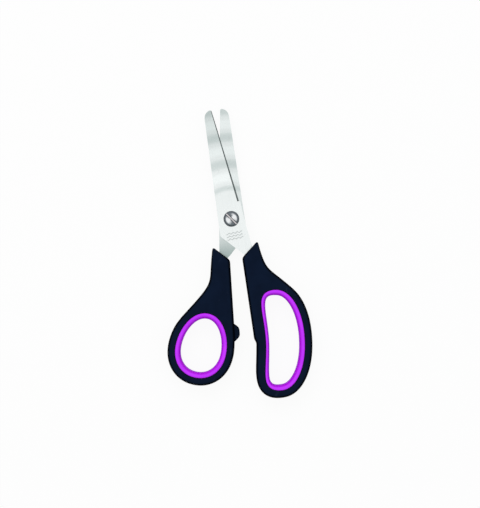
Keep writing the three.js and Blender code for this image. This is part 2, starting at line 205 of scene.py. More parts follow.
# %% Extrude a loop through a profile
def extrude_wall(bm, points, profile, closed=False):
    """profile is a list of functions of a point's number that give (outward move, height).
    Returns the first and the last loop of edges."""
    number = bm.verts.layers.int.get("number") or bm.verts.layers.int.new("number")
    normals = outward_normals(points)

    def place(v, move):
        out, height = move(v[number])
        flat = points[v[number]] + normals[v[number]] * out
        v.co = (flat.x, flat.y, height)

    ring = [bm.verts.new() for _ in points]
    for i, v in enumerate(ring):
        v[number] = i
        place(v, profile[0])
    first = [bm.edges.new((ring[i - 1], ring[i])) for i in range(len(ring))]
    edges = first
    for move in profile[1:]:
        made = bmesh.ops.extrude_edge_only(bm, edges=edges)["geom"]
        edges = [e for e in made if isinstance(e, bmesh.types.BMEdge)]
        for v in (v for v in made if isinstance(v, bmesh.types.BMVert)):
            place(v, move)
    if closed:
        bmesh.ops.bridge_loops(bm, edges=first + edges)
    return first, edges


def quarter(inset, rise, steps, start=0):
    """Points of a quarter ellipse from (0, 0) to (-inset, rise), past the first."""
    turns = [pi / 2 * k / steps for k in range(start, steps + 1)]
    return [(-inset * (1 - cos(t)), rise * sin(t)) for t in turns]


def fixed(out, height):
    return lambda i: (out, height)


# %% A small bevel on every edge that is sharper than an angle
def soften(bm, offset, sharper_than=radians(40)):
    edges = [e for e in bm.edges if len(e.link_faces) == 2 and e.calc_face_angle() > sharper_than]
    bmesh.ops.bevel(
        bm,
        geom=edges,
        offset=offset,
        offset_type="OFFSET",
        segments=2,
        profile=0.5,
        affect="EDGES",
        material=-1,
        clamp_overlap=True,
    )


# %% Turn a bmesh into a finished piece
def make_piece(name, bm, materials, smooth_under=radians(35)):
    bmesh.ops.recalc_face_normals(bm, faces=bm.faces)
    mesh = bpy.data.meshes.new(name)
    bm.to_mesh(mesh)
    bm.free()
    mesh.shade_smooth()
    mesh.set_sharp_from_angle(angle=smooth_under)
    piece = bpy.data.objects.new(name, mesh)
    bpy.context.scene.collection.objects.link(piece)
    for material in materials:
        mesh.materials.append(material)
    open_edges = sum(1 for count in edge_use(mesh).values() if count != 2)
    print(name, len(mesh.polygons), "faces,", open_edges, "open edges")
    return piece


def edge_use(mesh):
    use = {}
    for polygon in mesh.polygons:
        for key in polygon.edge_keys:
            use[key] = use.get(key, 0) + 1
    return use


def settle(piece, body, node):
    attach(piece, body)
    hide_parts(node)


# %% [markdown]
# ## Shader groups
# The finishes share three effects. A fine grain is two noises of different size, as moulded
# plastic has. Brush lines are one noise stretched many times along the stroke. Scuffs are
# thin broken lines where two noises cross a narrow band. Each is built once as a node group
# with named sockets and is given its own values in every material.

# %% Small helpers for node trees
def node(tree, kind, **settings):
    made = tree.nodes.new(kind)
    for key, value in settings.items():
        setattr(made, key, value)
    return made


def feed(tree, target, socket, value):
    if isinstance(value, bpy.types.NodeSocket):
        tree.links.new(value, target.inputs[socket])
    else:
        target.inputs[socket].default_value = value


def math(tree, operation, first, second=0.0, clamp=False):
    made = node(tree, "ShaderNodeMath", operation=operation, use_clamp=clamp)
    feed(tree, made, 0, first)
    feed(tree, made, 1, second)
    return made.outputs[0]


def noise(tree, vector, scale, detail=2.0, roughness=0.5):
    made = node(tree, "ShaderNodeTexNoise")
    feed(tree, made, "Vector", vector)
    feed(tree, made, "Scale", scale)
    feed(tree, made, "Detail", detail)
    feed(tree, made, "Roughness", roughness)
    return made.outputs["Fac"]


def remap(tree, value, low, high, to_low, to_high, smooth=False):
    made = node(tree, "ShaderNodeMapRange")
    made.interpolation_type = "SMOOTHSTEP" if smooth else "LINEAR"
    feed(tree, made, "Value", value)
    feed(tree, made, "From Min", low)
    feed(tree, made, "From Max", high)
    feed(tree, made, "To Min", to_low)
    feed(tree, made, "To Max", to_high)
    return made.outputs["Result"]


def mix(tree, factor, first, second):
    made = node(tree, "ShaderNodeMix", data_type="RGBA")
    feed(tree, made, 0, factor)
    feed(tree, made, 6, first)
    feed(tree, made, 7, second)
    return made.outputs[2]


def mapped(tree, vector, location=(0, 0, 0), turn=0.0, scale=(1, 1, 1)):
    made = node(tree, "ShaderNodeMapping")
    feed(tree, made, "Vector", vector)
    feed(tree, made, "Location", location)
    feed(tree, made, "Rotation", (0, 0, turn))
    feed(tree, made, "Scale", scale)
    return made.outputs["Vector"]


def start_group(name, inputs, outputs):
    tree = bpy.data.node_groups.new(name, "ShaderNodeTree")
    for socket, default in inputs.items():
        kind = "NodeSocketVector" if default is None else "NodeSocketFloat"
        made = tree.interface.new_socket(socket, in_out="INPUT", socket_type=kind)
        if default is not None:
            made.default_value = default
    for socket in outputs:
        tree.interface.new_socket(socket, in_out="OUTPUT", socket_type="NodeSocketFloat")
    given = node(tree, "NodeGroupInput").outputs
    results = node(tree, "NodeGroupOutput")
    return tree, given, results


# %% Fine grain of moulded plastic and rubber
grain_group, given, results = start_group(
    "fine_grain", {"Vector": None, "Scale": 2500.0}, ("Height", "Cloud")
)
pebbles = noise(grain_group, given["Vector"], given["Scale"], 3.0, 0.6)
cloud_scale = math(grain_group, "MULTIPLY", given["Scale"], 0.03)
clouds = noise(grain_group, given["Vector"], cloud_scale, 2.0)
feed(grain_group, results, "Height", pebbles)
feed(grain_group, results, "Cloud", remap(grain_group, clouds, 0.35, 0.65, 0.0, 1.0, True))

# %% Brush lines of finished steel
brush_group, given, results = start_group(
    "brush_lines", {"Vector": None, "Scale": 9000.0}, ("Line", "Band")
)
lines = noise(brush_group, given["Vector"], given["Scale"], 3.0, 0.7)
band_scale = math(brush_group, "MULTIPLY", given["Scale"], 0.12)
bands = noise(brush_group, given["Vector"], band_scale, 1.0)
feed(brush_group, results, "Line", remap(brush_group, lines, 0.3, 0.7, 0.0, 1.0))
feed(brush_group, results, "Band", remap(brush_group, bands, 0.35, 0.65, 0.0, 1.0, True))

# %% Scuffs from use
scuff_group, given, results = start_group(
    "scuffs", {"Vector": None, "Scale": 90.0, "Width": 0.012, "Amount": 0.5}, ("Mask",)
)
course = noise(scuff_group, given["Vector"], given["Scale"], 1.0)
off_course = math(scuff_group, "ABSOLUTE", math(scuff_group, "SUBTRACT", course, 0.5))
scratch = remap(scuff_group, off_course, 0.0, given["Width"], 1.0, 0.0)
broken_scale = math(scuff_group, "MULTIPLY", given["Scale"], 2.7)
broken = noise(scuff_group, given["Vector"], broken_scale, 2.0)
where = remap(scuff_group, broken, 0.52, 0.68, 0.0, given["Amount"], True)
feed(scuff_group, results, "Mask", math(scuff_group, "MULTIPLY", scratch, where, clamp=True))
print("shader groups:", [g.name for g in bpy.data.node_groups])


# %% Start a material and place a group in it
def start_material(name, **sockets):
    material = bpy.data.materials.new(name)
    material.use_nodes = True
    tree = material.node_tree
    shader = tree.nodes["Principled BSDF"]
    for socket, value in sockets.items():
        shader.inputs[socket.replace("_", " ")].default_value = value
    coordinates = node(tree, "ShaderNodeTexCoord").outputs["Object"]
    return material, tree, shader, coordinates


def place_group(tree, group, **sockets):
    made = node(tree, "ShaderNodeGroup", node_tree=group)
    for socket, value in sockets.items():
        feed(tree, made, socket, value)
    return made.outputs


def bump(tree, shader, height, strength, distance):
    made = node(tree, "ShaderNodeBump")
    feed(tree, made, "Height", height)
    feed(tree, made, "Strength", strength)
    feed(tree, made, "Distance", distance)
    feed(tree, shader, "Normal", made.outputs["Normal"])


# %% [markdown]
# ## Blade steel
# The sheet is stainless steel with fine brush lines along each blade, a few hairline scuffs,
# and a small wave mark etched under the screw of the upper blade. A metal's colour is in its
# reflection, so the steel is a light, slightly green base with metalness 1, and the lines only
# move the tone and roughness a little. The tone is also painted darker in some places than in
# others, as painted shade and painted reflection along each blade.
# The etched mark is darker and rougher than the sheet.

# %% The etched wave mark as a mask
MARK_DROP = 9.6 * MM  # how far below the screw the mark lies
MARK_SIZE = (4.6 * MM, 2.4 * MM)  # half its width and half its height
MARK_WAVE = 2.3 * MM  # length of one wave in it
MARK_ROWS = 3


def wave_mark(tree, coordinates, half_turn):
    """1 on the etched lines and 0 elsewhere."""
    centre = Matrix.Rotation(-half_turn, 2) @ pivot
    local = mapped(tree, coordinates, (-centre.x, MARK_DROP - centre.y, 0), -half_turn)
    split = node(tree, "ShaderNodeSeparateXYZ")
    feed(tree, split, "Vector", local)
    across, up = split.outputs["X"], split.outputs["Y"]
    swing = math(tree, "SINE", math(tree, "MULTIPLY", across, 2 * pi / MARK_WAVE))
    level = math(tree, "ADD", up, math(tree, "MULTIPLY", swing, MARK_WAVE / 7))
    pitch = 2 * MARK_SIZE[1] / MARK_ROWS
    nearest = math(tree, "PINGPONG", math(tree, "ADD", level, MARK_SIZE[1]), pitch / 2)
    line = remap(tree, nearest, pitch * 0.30, pitch * 0.36, 0.0, 1.0)
    wide = remap(tree, math(tree, "ABSOLUTE", across), MARK_SIZE[0] * 0.96, MARK_SIZE[0], 1.0, 0.0)
    high = remap(tree, math(tree, "ABSOLUTE", level), MARK_SIZE[1] * 0.96, MARK_SIZE[1], 1.0, 0.0)
    return math(tree, "MULTIPLY", math(tree, "MULTIPLY", line, wide), high)


# %% Brushed sheet, for each blade along its own length
STROKE = 0.012  # the pattern's scale along the stroke, as a share of its scale across
# The brush lines' two tones as a painted-shade copy of the steel and as a lit copy.
PAINTED_SHADE_STEEL = ((0.29, 0.375, 0.36, 1), (0.36, 0.45, 0.43, 1))  # the dark and the light lines
PAINTED_LIT_STEEL = ((0.84, 0.885, 0.88, 1), (0.92, 0.955, 0.95, 1))
SCUFFED_STEEL = (0.55, 0.58, 0.57, 1)
ETCHED_STEEL = (0.30, 0.33, 0.33, 1)
ETCH_STRENGTH = 0.5
# Painted light along each blade, from 0 (full painted shade) to 1 (lit), at distances past the
# screw. The upper blade is painted darker towards the tip; the lower one is painted in shade, darkest
# at the tang.
FRONT_PAINTED_LIGHT = [(0, 1.0), (20 * MM, 0.94), (60 * MM, 0.58)]
REAR_PAINTED_LIGHT = [(-22 * MM, 0.10), (-6 * MM, 0.70), (30 * MM, 0.77)]


def painted_light_along(tree, coordinates, half_turn, stops):
    """A value that changes along a blade, from (distance past the screw, value) stops."""
    centre = Matrix.Rotation(-half_turn, 2) @ pivot
    local = mapped(tree, coordinates, (0, -centre.y, 0), -half_turn)
    split = node(tree, "ShaderNodeSeparateXYZ")
    feed(tree, split, "Vector", local)
    value = stops[0][1]
    for (low, _), (high, target) in zip(stops, stops[1:]):
        share = remap(tree, split.outputs["Y"], low, high, 0.0, 1.0, True)
        blend = node(tree, "ShaderNodeMix", data_type="FLOAT")
        feed(tree, blend, 0, share)
        feed(tree, blend, 2, value)
        feed(tree, blend, 3, target)
        value = blend.outputs[0]
    return value


def blade_material(name, half_turn, etched, stops):
    material, tree, shader, coordinates = start_material(name, Metallic=1.0)
    along = mapped(tree, coordinates, turn=-half_turn, scale=(1, STROKE, 1))
    lines = place_group(tree, brush_group, Vector=along, Scale=7000.0)
    scuffs = place_group(tree, scuff_group, Vector=coordinates, Scale=70.0, Width=0.006, Amount=0.6)
    # Painted light and shade: the tone runs from the shaded copy of the steel to the lit copy along
    # the blade.
    bright = painted_light_along(tree, coordinates, half_turn, stops)
    dark_line = mix(tree, bright, PAINTED_SHADE_STEEL[0], PAINTED_LIT_STEEL[0])
    light_line = mix(tree, bright, PAINTED_SHADE_STEEL[1], PAINTED_LIT_STEEL[1])
    tone = mix(tree, lines["Line"], dark_line, light_line)
    tone = mix(tree, scuffs["Mask"], tone, SCUFFED_STEEL)
    rough = remap(tree, lines["Band"], 0.0, 1.0, 0.20, 0.27)
    height = math(tree, "SUBTRACT", lines["Line"], scuffs["Mask"])
    if etched:
        mark = wave_mark(tree, coordinates, half_turn)
        tone = mix(tree, math(tree, "MULTIPLY", mark, ETCH_STRENGTH), tone, ETCHED_STEEL)
        rough = math(tree, "ADD", rough, math(tree, "MULTIPLY", mark, 0.25))
        height = math(tree, "SUBTRACT", height, math(tree, "MULTIPLY", mark, 4.0))
    feed(tree, shader, "Base Color", tone)
    feed(tree, shader, "Roughness", rough)
    bump(tree, shader, height, 0.25, 0.004 * MM)
    return material


# %% Ground bevel: painted shade, with short strokes across the edge
# The bevel's dark tones are painted shade along the cutting edge; the strokes across it are the
# grinding.
GROUND_STEEL_PAINTED_SHADE = ((0.10, 0.125, 0.125, 1), (0.26, 0.29, 0.285, 1))


def ground_material(name, half_turn):
    material, tree, shader, coordinates = start_material(name, Metallic=1.0)
    across = mapped(tree, coordinates, turn=-half_turn, scale=(STROKE * 4, 1, STROKE * 4))
    lines = place_group(tree, brush_group, Vector=across, Scale=5000.0)
    tone = mix(tree, lines["Line"], *GROUND_STEEL_PAINTED_SHADE)
    feed(tree, shader, "Base Color", tone)
    feed(tree, shader, "Roughness", remap(tree, lines["Band"], 0.0, 1.0, 0.30, 0.42))
    bump(tree, shader, lines["Line"], 0.4, 0.01 * MM)
    return material


# %% Polished screw steel
SHEEN_TURN = radians(20)  # direction of the painted bright fans from +X
RIM_PAINTED_SHADE = (2.7 * MM, 3.4 * MM)  # distances from the axis over which the painted sheen gives way to a painted dark rim
PAINTED_HIGHLIGHT_FAN = (0.86, 0.88, 0.89, 1)
PAINTED_SHADE_FAN = (0.16, 0.18, 0.20, 1)


def screw_material(name, light, dark):
    """Painted highlight: the tone is bright in two opposite fans and dark between them, standing in
    for the light that turned steel's fine rings mirror.
    """
    material, tree, shader, coordinates = start_material(name, Metallic=1.0)
    local = mapped(tree, coordinates, (-pivot.x, -pivot.y, 0))
    split = node(tree, "ShaderNodeSeparateXYZ")
    feed(tree, split, "Vector", local)
    around = math(tree, "ARCTAN2", split.outputs["Y"], split.outputs["X"])
    from_sheen = math(tree, "SUBTRACT", around, SHEEN_TURN)
    fans = math(tree, "COSINE", math(tree, "MULTIPLY", from_sheen, 2.0))
    grain = place_group(tree, grain_group, Vector=coordinates, Scale=900.0)
    uneven = math(tree, "ADD", fans, remap(tree, grain["Height"], 0.3, 0.7, -0.5, 0.5))
    shine = remap(tree, uneven, -0.9, 0.7, 0.0, 1.0, True)
    rings = node(tree, "ShaderNodeTexWave", wave_type="RINGS", rings_direction="Z")
    feed(tree, rings, "Vector", local)
    feed(tree, rings, "Scale", 4500.0)
    feed(tree, rings, "Distortion", 1.5)
    scuffs = place_group(tree, scuff_group, Vector=coordinates, Scale=220.0, Width=0.01)
    tone = mix(tree, shine, dark, light)
    from_axis = node(tree, "ShaderNodeVectorMath", operation="LENGTH")
    feed(tree, from_axis, 0, mapped(tree, coordinates, (-pivot.x, -pivot.y, 0), scale=(1, 1, 0)))
    rim = remap(tree, from_axis.outputs["Value"], *RIM_PAINTED_SHADE, 0.0, 1.0, True)
    # Painted shade: towards the head's rim the tone turns dark.
    tone = mix(tree, rim, tone, dark)
    tone = mix(tree, scuffs["Mask"], tone, (0.30, 0.31, 0.32, 1))
    feed(tree, shader, "Base Color", tone)
    feed(tree, shader, "Roughness", remap(tree, rings.outputs["Fac"], 0.0, 1.0, 0.10, 0.16))
    bump(tree, shader, rings.outputs["Fac"], 0.15, 0.003 * MM)
    return material


# %% The screw's slot: light along the middle of its floor, painted shade in its corners
SLOT_WIDTH = 1.3 * MM
SLOT_TURN = radians(-53)


def slot_material():
    material, tree, shader, coordinates = start_material("slot_steel", Metallic=1.0)
    turned = mapped(tree, coordinates, turn=-SLOT_TURN)
    centre = Matrix.Rotation(-SLOT_TURN, 2) @ pivot
    split = node(tree, "ShaderNodeSeparateXYZ")
    feed(tree, split, "Vector", turned)
    off_middle = math(tree, "ABSOLUTE", math(tree, "SUBTRACT", split.outputs["Y"], centre.y))
    # Painted shade: the floor turns near black towards the slot's walls.
    corner = remap(tree, off_middle, 0.1 * SLOT_WIDTH, 0.42 * SLOT_WIDTH, 0.0, 1.0, True)
    grain = place_group(tree, grain_group, Vector=coordinates, Scale=1800.0)
    floor_tone = mix(tree, grain["Height"], (0.55, 0.53, 0.54, 1), (0.80, 0.78, 0.79, 1))
    feed(tree, shader, "Base Color", mix(tree, corner, floor_tone, (0.035, 0.035, 0.04, 1)))
    feed(tree, shader, "Roughness", remap(tree, grain["Height"], 0.3, 0.7, 0.25, 0.4))
    bump(tree, shader, grain["Height"], 0.3, 0.005 * MM)
    return material


# %% [markdown]
# ## Plastics
# The handles are a hard blue-black plastic with a satin grain, the bumper a duller rubber and
# the liners a soft magenta rubber. All three are nearly matt: the grain breaks up the gloss,
# and faint clouds in the tone keep large faces from looking like one flat paint. The tone of
# each is deeper on its sloping sides, as painted shade, and lighter on the level faces.

# %% Handle, bumper and liner materials
SLOPE_PAINTED_SHADE = (0.70, 0.995)  # painted shade: how level a face is where the painted shade is full, and where there is none


def moulded_material(name, tones, rough, grain_scale, grain_depth, scuffed, **sockets):
    """tones are the deep and the light tone of the faces and the painted shade of sloping sides."""
    deep, light, sloping = tones
    material, tree, shader, coordinates = start_material(name, **sockets)
    grain = place_group(tree, grain_group, Vector=coordinates, Scale=grain_scale)
    marks = place_group(tree, scuff_group, Vector=coordinates, Scale=60.0, Width=0.01, Amount=scuffed)
    tone = mix(tree, grain["Cloud"], deep, light)
    rubbed = [min(1.0, 1.6 * c + 0.01) for c in light[:3]] + [1]
    tone = mix(tree, marks["Mask"], tone, rubbed)
    # Painted shade: the tone turns to the sloping tone where the face tilts away from level.
    split = node(tree, "ShaderNodeSeparateXYZ")
    feed(tree, split, "Vector", node(tree, "ShaderNodeTexCoord").outputs["Normal"])
    level = math(tree, "ABSOLUTE", split.outputs["Z"])
    slope = remap(tree, level, *SLOPE_PAINTED_SHADE, 1.0, 0.0, True)
    feed(tree, shader, "Base Color", mix(tree, slope, tone, sloping))
    worn = math(tree, "MULTIPLY", marks["Mask"], -0.12)
    uneven = remap(tree, grain["Height"], 0.3, 0.7, *rough)
    feed(tree, shader, "Roughness", math(tree, "ADD", uneven, worn))
    bump(tree, shader, grain["Height"], 0.5, grain_depth)
    return material


# The third tone of each is the painted shade on its sloping sides.
handle_black = moulded_material(
    "handle_black_plastic",
    ((0.0028, 0.0066, 0.0180, 1), (0.0034, 0.0082, 0.0225, 1), (0.0006, 0.0012, 0.0030, 1)),
    (0.50, 0.62),
    3000.0,
    0.012 * MM,
    0.5,
    Specular_IOR_Level=0.02,
)
bumper_black = moulded_material(
    "bumper_black_rubber",
    ((0.0024, 0.0052, 0.0135, 1), (0.0030, 0.0066, 0.0170, 1), (0.0006, 0.0012, 0.0030, 1)),
    (0.60, 0.75),
    2200.0,
    0.015 * MM,
    0.2,
    Specular_IOR_Level=0.02,
)
liner_magenta = moulded_material(
    "liner_magenta_rubber",
    ((0.47, 0.018, 0.86, 1), (0.52, 0.026, 0.93, 1), (0.40, 0.0, 0.66, 1)),
    (0.42, 0.55),
    2600.0,
    0.010 * MM,
    0.15,
    Specular_IOR_Level=0.25,
)
print("materials:", [m.name for m in bpy.data.materials])

# %% [markdown]
# ## Handles
# Each handle is one moulding. Its faces are slightly crowned, its outer edge is well rounded
# for the hand and tightens towards the mouth where the blade comes out, a shallow groove
# round the middle shows where the two halves of the mould met, and a rib inside the loop
# holds the liner. Walls are extruded from the frame's outline, the faces are filled between
# the last loops, cut into small cells by planes, and lifted into their crown.

# %% Sizes of the moulded edges
HANDLE_STEP = 0.7 * MM  # spacing of points along an outline
EDGE_INSET = 2.0 * MM  # rounding of the outer edge, across and along Z
EDGE_RISE = 2.4 * MM
MOUTH_INSET = 0.5 * MM  # rounding at the blade's mouth
MOUTH_FADE = 12 * MM  # the full rounding is reached this far below the mouth's top
MOUTH_RADIUS = 0.7 * MM  # the mouth's pointed corner, seen from above
LOOP_INSET = 0.35 * MM  # small rounding where the face meets the liner
CROWN = 0.3 * MM
CROWN_REACH = 5 * MM  # distance from the edge at which the crown is full
FACE_STRIP = 0.25 * MM  # level strip inside the rounding
SEAM_DEPTH = 0.06 * MM
SEAM_HALF = 0.12 * MM
RIB_HEIGHT = 0.8 * MM
RIB_HALF = 1.2 * MM
CELL = 2.2 * MM
CUT_HEIGHT = 8.5 * MM  # a level that crosses the handles above their tangs

handle_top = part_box("finger_handle")[1].z
handle_middle = handle_top / 2


def smoothstep(value):
    value = min(1.0, max(0.0, value))
    return value * value * (3 - 2 * value)


def edge_rounding(points, top):
    """For each point of an outline, its rounding as a share of the full one."""
    least = MOUTH_INSET / EDGE_INSET
    return [least + (1 - least) * smoothstep((top - p.y) / MOUTH_FADE) for p in points]


# %% Crown a flat face that is already filled
def crown_face(bm, faces, borders, height, lift):
    """Cuts level faces into cells and lifts them away from the border loops."""
    tree = KDTree(sum(len(loop) for loop in borders))
    for index, point in enumerate(p for loop in borders for p in loop):
        tree.insert(point.to_3d(), index)
    tree.balance()
    xs = [v.co.x for f in faces for v in f.verts]
    ys = [v.co.y for f in faces for v in f.verts]
    for axis, low, high in ((0, min(xs), max(xs)), (1, min(ys), max(ys))):
        for k in range(1, int((high - low) / CELL) + 1):
            at = Vector((0, 0, height))
            at[axis] = low + k * CELL
            normal = Vector((0, 0, 0))
            normal[axis] = 1
            level = [f for f in bm.faces if all(abs(v.co.z - height) < 1e-7 for v in f.verts)]
            parts = set(level)
            parts.update(e for f in level for e in f.edges)
            parts.update(v for f in level for v in f.verts)
            bmesh.ops.bisect_plane(bm, geom=list(parts), plane_co=at, plane_no=normal, dist=1e-7)
    for v in bm.verts:
        if abs(v.co.z - height) < 1e-7:
            away = tree.find(Vector((v.co.x, v.co.y, 0)))[2]
            v.co.z += lift * smoothstep(away / CROWN_REACH)


# %% Build both handles
def make_handle(name):
    outer, opening = outline_loops(name, CUT_HEIGHT)
    outer = smooth_loop(arc_corners(outer, MOUTH_RADIUS), HANDLE_STEP)
    opening = smooth_loop(opening, HANDLE_STEP)
    shares = edge_rounding(outer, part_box(name)[1].y)
    face = handle_top - CROWN
    bm = bmesh.new()

    def outer_move(out, rise, upper):
        def move(i):
            inset = out * shares[i]
            level = (EDGE_RISE - rise) * shares[i]
            return (inset, face - level if upper else CROWN + level)

        return move

    upper = [outer_move(o, r, True) for o, r in quarter(EDGE_INSET, EDGE_RISE, 7)]
    lower = [outer_move(o, r, False) for o, r in quarter(EDGE_INSET, EDGE_RISE, 7)]
    strip = -EDGE_INSET - FACE_STRIP
    seam = [
        fixed(0, handle_middle - SEAM_HALF),
        fixed(-SEAM_DEPTH, handle_middle),
        fixed(0, handle_middle + SEAM_HALF),
    ]
    whole = [outer_move(strip, EDGE_RISE, False)] + lower[::-1] + seam + upper
    whole.append(outer_move(strip, EDGE_RISE, True))
    under_edge, over_edge = extrude_wall(bm, outer, whole)

    curl = quarter(LOOP_INSET, LOOP_INSET, 3)
    hole = [fixed(LOOP_INSET + FACE_STRIP, CROWN)]
    hole += [fixed(-o, CROWN + LOOP_INSET - r) for o, r in curl[::-1]]
    hole += [
        fixed(0, handle_middle - RIB_HALF),
        fixed(-RIB_HEIGHT, handle_middle - RIB_HALF),
        fixed(-RIB_HEIGHT, handle_middle + RIB_HALF),
        fixed(0, handle_middle + RIB_HALF),
    ]
    hole += [fixed(-o, face - LOOP_INSET + r) for o, r in curl]
    hole.append(fixed(LOOP_INSET + FACE_STRIP, face))
    under_loop, over_loop = extrude_wall(bm, opening, hole)

    sides = ((under_edge, under_loop, CROWN, -CROWN), (over_edge, over_loop, face, CROWN))
    for edge, loop, height, lift in sides:
        borders = [[v.co.xy for e in ring for v in e.verts] for ring in (edge, loop)]
        made = bmesh.ops.triangle_fill(bm, use_beauty=True, edges=edge + loop, normal=(0, 0, lift))
        faces = [f for f in made["geom"] if isinstance(f, bmesh.types.BMFace)]
        crown_face(bm, faces, borders, height, lift)
    return make_piece(name.replace("_handle", "_handle_moulding"), bm, [handle_black])


for half_name in ("finger", "thumb"):
    handle = make_handle(half_name + "_handle")
    settle(handle, half_name + "_half", half_name + "_handle")

# %% [markdown]
# ## Liners
# A liner is a soft ring pressed into the loop. Its inner edge is a wide soft curve where the
# fingers bear, and its outer edge is tucked against the handle. One loop, the edge of the
# opening, is extruded right round the ring's section and the ends are bridged. The width of
# the section is measured at each point, because the lip narrows on one side of the long loop.

# %% Build both liners
SOFT_RISE = 2.3 * MM  # height of the inner curve
SOFT_SHARE = 0.78  # its share of the lip's width
LIP_CURL = 0.3 * MM  # small curve against the handle
LINER_DIP = 0.15 * MM  # how far the lip's outer edge lies under its crest


def lip_widths(points, outer):
    tree = KDTree(len(outer))
    for index, point in enumerate(outer):
        tree.insert(point.to_3d(), index)
    tree.balance()
    return [tree.find(p.to_3d())[2] for p in points]


def make_liner(name, handle):
    rings = outline_loops(name, CUT_HEIGHT)
    points = smooth_loop(rings[1], HANDLE_STEP)
    outer = smooth_loop(outline_loops(handle, CUT_HEIGHT)[1], HANDLE_STEP / 3)
    widths = lip_widths(points, outer)

    def move(share, out, height):
        return lambda i: (share * widths[i] + out, height)

    def curve(upper):
        moves = []
        for inset, rise in quarter(SOFT_SHARE, SOFT_RISE, 8):
            level = SOFT_RISE - rise
            moves.append(move(-inset, 0, handle_top - level if upper else level))
        edge = handle_top - LINER_DIP if upper else LINER_DIP
        drop = -LIP_CURL if upper else LIP_CURL
        moves.append(move((1 + SOFT_SHARE) / 2, 0, (handle_top + edge) / 2 if upper else edge / 2))
        moves.append(move(1, -LIP_CURL, edge))
        moves.append(move(1, -LIP_CURL * 0.3, edge + drop * 0.3))
        moves.append(move(1, 0, edge + drop))
        return moves

    groove = [
        move(1, 0, handle_middle + RIB_HALF),
        move(1, -RIB_HEIGHT, handle_middle + RIB_HALF),
        move(1, -RIB_HEIGHT, handle_middle - RIB_HALF),
        move(1, 0, handle_middle - RIB_HALF),
    ]
    bm = bmesh.new()
    extrude_wall(bm, points, curve(True) + groove + curve(False)[::-1], closed=True)
    return make_piece(name.replace("_insert", "_loop_liner"), bm, [liner_magenta])


for half_name in ("finger", "thumb"):
    liner = make_liner(half_name + "_insert", half_name + "_handle")
    settle(liner, half_name + "_half", half_name + "_insert")

# %% [markdown]
# ## Bumper
# The bumper is a small rubber block on the thumb handle's inner side, lower than the faces.
# It is a slab like the handles with a soft edge all round. Its back is carried a little into
# the handle, as the real one's root is, and spreads there, so that both ends flare out.

# %% Build the bumper
BUMPER_CUT = 8.2 * MM  # above its root
BUMPER_ROUND = 0.9 * MM
BUMPER_SINK = 1.6 * MM
BUMPER_FLARE = 1.0 * MM  # how far each end spreads where the bumper meets the handle
BUMPER_EASE = 0.35 * MM  # the crest is held back this far, so that it stays clear when shut
BUMPER_CORNER = 0.3 * MM
BUMPER_STEP = 0.35 * MM
SAME_LINE = 0.1 * MM  # points this close to the back count as on it

bumper_low, bumper_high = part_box("stop_bumper")
wall = outline_loops("stop_bumper", BUMPER_CUT)[0]
straight_in = Matrix.Rotation(-lean, 2) @ Vector((-1, 0))
along_side = Matrix.Rotation(-lean, 2) @ Vector((0, 1))
back = max(p.dot(straight_in) for p in wall) - SAME_LINE
at_back = [p for p in wall if p.dot(straight_in) > back]
upper_end, lower_end = [pick(at_back, key=along_side.dot) for pick in (max, min)]
sink = straight_in * BUMPER_SINK
flare = along_side * BUMPER_FLARE
front = [p + straight_in * BUMPER_EASE for p in wall if p not in at_back]
crest = max(range(len(front)), key=lambda i: front[i].dot(along_side))
front = front[crest + 1 :] + front[: crest + 1]
wall = front + [upper_end, upper_end + sink + flare, lower_end + sink - flare, lower_end]
wall = smooth_loop(arc_corners(wall, BUMPER_CORNER, 3), BUMPER_STEP)
bumper_curve = quarter(BUMPER_ROUND, BUMPER_ROUND, 5)
profile = [fixed(o, bumper_low.z + BUMPER_ROUND - r) for o, r in bumper_curve[::-1]]
profile += [fixed(o, bumper_high.z - BUMPER_ROUND + r) for o, r in bumper_curve]
bm = bmesh.new()
for rim in extrude_wall(bm, wall, profile):
    bmesh.ops.triangle_fill(bm, use_beauty=True, edges=rim)
bumper = make_piece("stop_bumper_block", bm, [bumper_black])
settle(bumper, "thumb_half", "stop_bumper")

# %% [markdown]
# ## Blades
# A blade is a flat stamping with a wave pressed into it in rings round the screw, so that the
# two blades can slide on each other at any angle. The flat outline comes from the frame node
# with its wave taken out, it is filled and cut into fine cells by planes, thickened by
# extruding, ground along the cutting edge, softened with a small bevel, and only then lifted
# by the wave, so that every surface bends together.

# %% The pressed wave
WAVE_PITCH = 14.9 * MM
WAVE_HEIGHT = 1.1 * MM
WAVE_START = 13 * MM
WAVE_RAMP = 6 * MM
FIRST_CREST = 19.7 * MM


def wave(point):
    """Height of the wave over a point; the tangs, below the screw, are flat."""
    beyond = point.xy - pivot
    if beyond.y < 0:
        return 0
    distance = beyond.length
    grown = smoothstep((distance - WAVE_START) / WAVE_RAMP)
    return WAVE_HEIGHT * grown * cos(2 * pi * (distance - FIRST_CREST) / WAVE_PITCH)


# %% Sizes of the sheet and its ground edge
SHEET = 1.5 * MM
BLADE_GAP = 0.12 * MM  # between the two inner faces
EDGE_LAND = 0.35 * MM
HEEL_SHOULDER = 0.3 * MM  # length over which the ground edge ends at its heel
HOLE_STEP = 0.3 * MM
BEVEL_TIP = 0.42 * MM
BEVEL_HEEL = 0.95 * MM
BLADE_CELL = (0.9 * MM, 0.6 * MM)  # across and along the blade
SOFT_EDGE = 0.12 * MM
LAND_SHARE = 0.1  # the outline is taken this far up the sheet, inside the land


